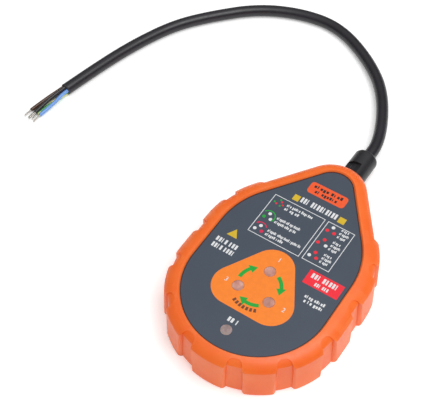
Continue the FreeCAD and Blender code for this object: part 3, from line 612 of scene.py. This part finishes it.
def greeked(x, y, width, height, words, capitals=False):
    """A line of letter-like blocks in place of text: words holds the number of letters of each."""
    gap = 0.55
    outlines = []
    shapes = ((0.0, 0.74), (0.0, 1.0), (0.0, 0.74), (-0.24, 0.74), (0.0, 0.74), (0.0, 0.92),
              (0.0, 0.74))
    stems = (0.74, 0.34, 0.74, 0.74, 0.74)
    if capitals:
        shapes = ((0.0, 1.0),)
        stems = (0.68, 0.68, 0.30, 0.68, 0.50)
    cell = width / (sum(words) + gap * (len(words) - 1))
    place = x
    index = 0
    for letters in words:
        for _ in range(letters):
            low, high = shapes[index % len(shapes)]
            stem = cell * stems[index % len(stems)]
            outlines.append(bar(place, y + low * height, place + stem, y + high * height))
            place += cell
            index += 1
        place += cell * gap
    return outlines


# The label's arcs: radius, and the height of the centre.
LABEL_BOTTOM = (43.2, -39.1)
LABEL_SHOULDER = (50.1, -9.6)
LABEL_TIP = (12.8, 44.5)


def label_outline(inset):
    """Outline of the label: bottom arc, shoulder arcs and tip arc, joined by tangent lines."""
    half, shoulder, tip = (radius - inset for radius, _ in (LABEL_BOTTOM, LABEL_SHOULDER, LABEL_TIP))
    bottom_y, shoulder_y, tip_y = (y for _, y in (LABEL_BOTTOM, LABEL_SHOULDER, LABEL_TIP))
    dx, dy = shoulder - half, tip_y - shoulder_y
    angle = math.degrees(math.atan2(dy, dx) - math.acos((shoulder - tip) / math.hypot(dx, dy)))
    centre = half - shoulder
    return (arc(0, bottom_y, half, 180, 360, 90)
            + arc(centre, shoulder_y, shoulder, 0, angle, 30)
            + arc(0, tip_y, tip, angle, 180 - angle, 24)
            + arc(-centre, shoulder_y, shoulder, 180 - angle, 180, 30))


def curved_arrow(x, y, radius, start, end, width, head):
    """Band along an arc, with a triangular head at its end."""
    turn = -1 if end < start else 1
    neck = end - turn * math.degrees(head / radius)
    barb = width * 1.25
    outline = arc(x, y, radius + width / 2, start, neck, 16)
    for reach, angle in ((radius + barb, neck), (radius, end), (radius - barb, neck)):
        a = math.radians(angle)
        outline.append((x + reach * math.cos(a), y + reach * math.sin(a)))
    outline += arc(x, y, radius - width / 2, neck, start, 16)
    return outline


# The three phase lamps: middle of their triangle, distance from it, radius of a hole and angles.
LAMPS_Y = -37.4
LAMP_RING = 11.7
HOLE = 3.45
LAMP_TURNS = (90, -30, 210)

# The orange panel round the lamps: distance of a round corner's centre, and the corner's radius.
PANEL_REACH = 14.0
PANEL_CORNER = 13.0

# The green arrows round the lamps: radius of the band's middle, where each starts, and its sweep.
ARROW_RING = 12.6
ARROW_STARTS = (182, 62, -58)
ARROW_SWEEP = 58

# The dark strokes below the arrows: inner and outer radius, first angle, pitch and length.
CAPTION_RADII = (14.9, 17.2)
CAPTION_START = -118
CAPTION_PITCH = 8.2
CAPTION_LENGTH = 5.4

# The status column: its x, and the radii of its dots and small marks.
STATUS_X = -21.3
DOT = 1.1
SMALL_DOT = 0.62

TABLE_LINE = 0.42


def lamp_place(turn):
    """Middle of a phase lamp, at an angle round the panel."""
    a = math.radians(turn)
    return (LAMP_RING * math.cos(a), LAMPS_Y + LAMP_RING * math.sin(a))


def numeral(text, x, y, height):
    """A plain numeral as flat white ink on the panel."""
    name = f"phase_numeral_{text}"
    data = bpy.data.curves.new(name, "FONT")
    data.body = text
    data.size = height * 1.35 * MM
    data.align_x = "CENTER"
    data.align_y = "CENTER"
    data.extrude = PRINT / 2 * MM
    lay_ink(name, data, (x, y, layer_z(1)), "white")


def face_print():
    # The dark ring round the label's edge is painted shade, standing in for the shade in the narrow gap
    # between the label and the bezel.
    printed("label_edge_shade", [label_outline(0.02), label_outline(0.5)], "edge")
    phase_panel()
    printed("table_frames", frame_lines(-26.3, -8.3, 8.1, 22.8, TABLE_LINE)
            + frame_lines(10.0, -8.1, 27.8, 22.7, TABLE_LINE), "white")
    printed("small_print", small_print(), "white")
    printed("headings", greeked(-38.2, -24.1, 14.6, 3.2, (4, 3), True)
            + greeked(-38.2, -28.8, 15.4, 3.2, (4, 4), True)
            + greeked(-3.1, -65.4, 7.4, 3.0, (2, 1), True), "white")
    printed("rating_plate", [bar(18.5, -21.6, 40.6, -11.6)], "red")
    printed("rating_lines", greeked(21.0, -16.4, 17.4, 3.4, (3, 5), True)
            + greeked(25.3, -20.3, 9.0, 2.3, (3, 3), True), "white", 1)
    printed("caution_triangle", [[(-34.8, -17.3), (-28.0, -17.3), (-31.4, -11.4)]], "yellow")
    printed("name_panel", greeked(-11.4, 25.7, 24.8, 4.0, (3, 9), True), "white")
    printed("name_panel_ends", [bar(-16.4, 24.9, -12.4, 29.3), bar(14.2, 24.9, 18.6, 29.3)], "yellow")
    printed("badge", [rounded_polygon(bar(-12.5, 34.6, 12.5, 43.4), 2.2)], "badge")
    printed("badge_lines", greeked(-9.8, 39.6, 19.6, 2.4, (5, 4))
            + greeked(-7.6, 36.2, 15.2, 2.4, (2, 6)), "edge", 1)
    status_dots()


def phase_panel():
    """Orange panel with a hole over each phase lamp, green arrows, numerals and a caption."""
    holes = [disc(*lamp_place(turn), HOLE) for turn in LAMP_TURNS]
    corners = [panel_corner(turn) for turn in LAMP_TURNS]
    printed("phase_panel", [rounded_polygon(corners, PANEL_CORNER)] + holes, "orange")
    arrows = [curved_arrow(0, LAMPS_Y, ARROW_RING, start, start - ARROW_SWEEP, 2.3, 4.6)
              for start in ARROW_STARTS]
    printed("rotation_arrows", arrows, "green", 1)
    for text, x, y in (("1", 0.6, -16.3), ("2", 19.6, -43.2), ("3", -17.9, -43.2)):
        numeral(text, x, y, 3.0)
    printed("panel_caption", panel_caption(), "dark", 1)


def panel_corner(turn):
    """Corner of the panel's outline before its rounding."""
    a = math.radians(turn)
    reach = PANEL_REACH + PANEL_CORNER * 2
    return (reach * math.cos(a), LAMPS_Y + reach * math.sin(a))


def panel_caption():
    """Short dark strokes along an arc below the arrows."""
    inner, outer = CAPTION_RADII
    outlines = []
    for k in range(7):
        first = math.radians(CAPTION_START + CAPTION_PITCH * k)
        last = first + math.radians(CAPTION_LENGTH)
        corners = ((outer, first), (outer, last), (inner, last), (inner, first))
        outlines.append([(r * math.cos(a), LAMPS_Y + r * math.sin(a)) for r, a in corners])
    return outlines


def small_print():
    """Lines of words in the two tables and beside the lamps."""
    lines = []
    for x, y, width, words in (
            (-16.2, 18.5, 17.5, (3, 5, 7)), (-16.2, 15.5, 10.0, (2, 2, 2)),
            (-16.2, 7.3, 16.0, (9, 8)), (-16.2, 4.3, 14.5, (10, 4)),
            (-16.2, -3.0, 22.0, (7, 9, 8)), (-16.2, -5.9, 12.0, (6, 4))):
        lines += greeked(x, y, width, 2.0, words)
    for y in (20.4, 10.4, 0.2):
        for row, (width, words) in enumerate(((5.0, (4, 1)), (6.6, (7,)), (5.2, (2, 4)))):
            lines += greeked(19.7, y - 2.7 * row, width, 1.9, words)
    lines += greeked(24.6, -29.5, 13.0, 2.1, (4, 5))
    lines += greeked(25.6, -32.5, 12.5, 2.1, (1, 2, 4))
    return lines


def small_marks(name, y, steps, colour):
    """Dots at the given steps from a point of the status column."""
    printed(name, [disc(STATUS_X + dx, y + dy, SMALL_DOT) for dx, dy in steps], colour)


def status_dots():
    """Dots and small arrows that stand for the states the lamps can show."""
    dots = {
        "white": [(STATUS_X, 8.6), (-19.0, 5.2), (STATUS_X, -1.5), (-23.5, -4.8), (14.8, 20.1),
                  (17.4, 6.6), (12.6, -3.7)],
        "green": [(-23.5, 5.2)],
        "crimson": [(-19.0, -4.8)],
        "red": [(12.6, 16.7), (17.1, 16.7), (14.8, 10.0), (12.3, 6.6), (14.8, -0.4), (17.1, -3.7)],
    }
    for colour, places in dots.items():
        printed(f"{colour}_dots", [disc(x, y, DOT) for x, y in places], colour)
    printed("green_turn", [curved_arrow(STATUS_X, 6.6, 4.1, 150, -40, 0.7, 1.8)], "green")
    printed("red_turn", [curved_arrow(STATUS_X, -3.2, 4.1, 30, 150, 0.6, 1.8)], "crimson")
    small_marks("green_marks", 18.4, ((-2.6, -0.5), (0.2, 2.3), (1.6, -1.8)), "green")
    small_marks("red_marks", 18.4, ((-1.1, -1.3), (1.5, 1.2), (2.9, -0.6)), "red")


face_print()


# ---------------------------------------------------------------- floor, light, world

# Key light, in metres and watts.
KEY_PLACE = Vector((0.30, 0.05, 1.0))
KEY_SIZE = 0.7
KEY_POWER = 6.5

# Grey of the soft box at heights from the horizon (0) to overhead (1).
SKY = ((0.0, 0.25), (0.45, 0.12), (0.72, 0.62), (1.0, 0.75))


def floor():
    """Pale seamless paper, far wider than the view (in metres)."""
    mesh = bpy.data.meshes.new("floor")
    half = 12.0
    corners = [(x, y, 0) for x, y in bar(-half, -half, half, half)]
    mesh.from_pydata(corners, [], [(0, 1, 2, 3)])
    nodes = Nodes("floor")
    nodes.colour_between(nodes.noise(3.0), (0.93, 0.93, 0.93), (0.95, 0.95, 0.95))
    nodes.constant(Roughness=0.7, Specular_IOR_Level=0.1, Emission_Strength=0.30)
    nodes.shader.inputs["Emission Color"].default_value = (1, 1, 1, 1)
    obj = new_object("floor", mesh, nodes.material)


def key_light():
    """One square soft light above the object, aimed at the frame's origin."""
    data = bpy.data.lights.new("key", "AREA")
    data.shape = "RECTANGLE"
    data.size = KEY_SIZE
    data.size_y = KEY_SIZE
    data.energy = KEY_POWER
    obj = bpy.data.objects.new("key", data)
    obj.location = KEY_PLACE
    obj.rotation_euler = (-KEY_PLACE).to_track_quat("-Z", "Y").to_euler()
    bpy.context.collection.objects.link(obj)


def world():
    """Soft box: dim low down, bright overhead."""
    scene = bpy.context.scene
    scene.view_settings.view_transform = "Standard"
    scene.world = bpy.data.worlds.new("studio")
    scene.world.use_nodes = True
    tree = scene.world.node_tree
    background = tree.nodes["Background"]
    coords = tree.nodes.new("ShaderNodeTexCoord")
    split = tree.nodes.new("ShaderNodeSeparateXYZ")
    ramp = tree.nodes.new("ShaderNodeValToRGB")
    elements = ramp.color_ramp.elements
    while len(elements) < len(SKY):
        elements.new(0.5)
    for element, (height, grey) in zip(elements, SKY):
        element.position = height
        element.color = (grey, grey, grey, 1)
    tree.links.new(coords.outputs["Generated"], split.inputs["Vector"])
    tree.links.new(split.outputs["Z"], ramp.inputs["Fac"])
    tree.links.new(ramp.outputs["Color"], background.inputs["Color"])
    background.inputs["Strength"].default_value = 1.0


floor()
world()
key_light()
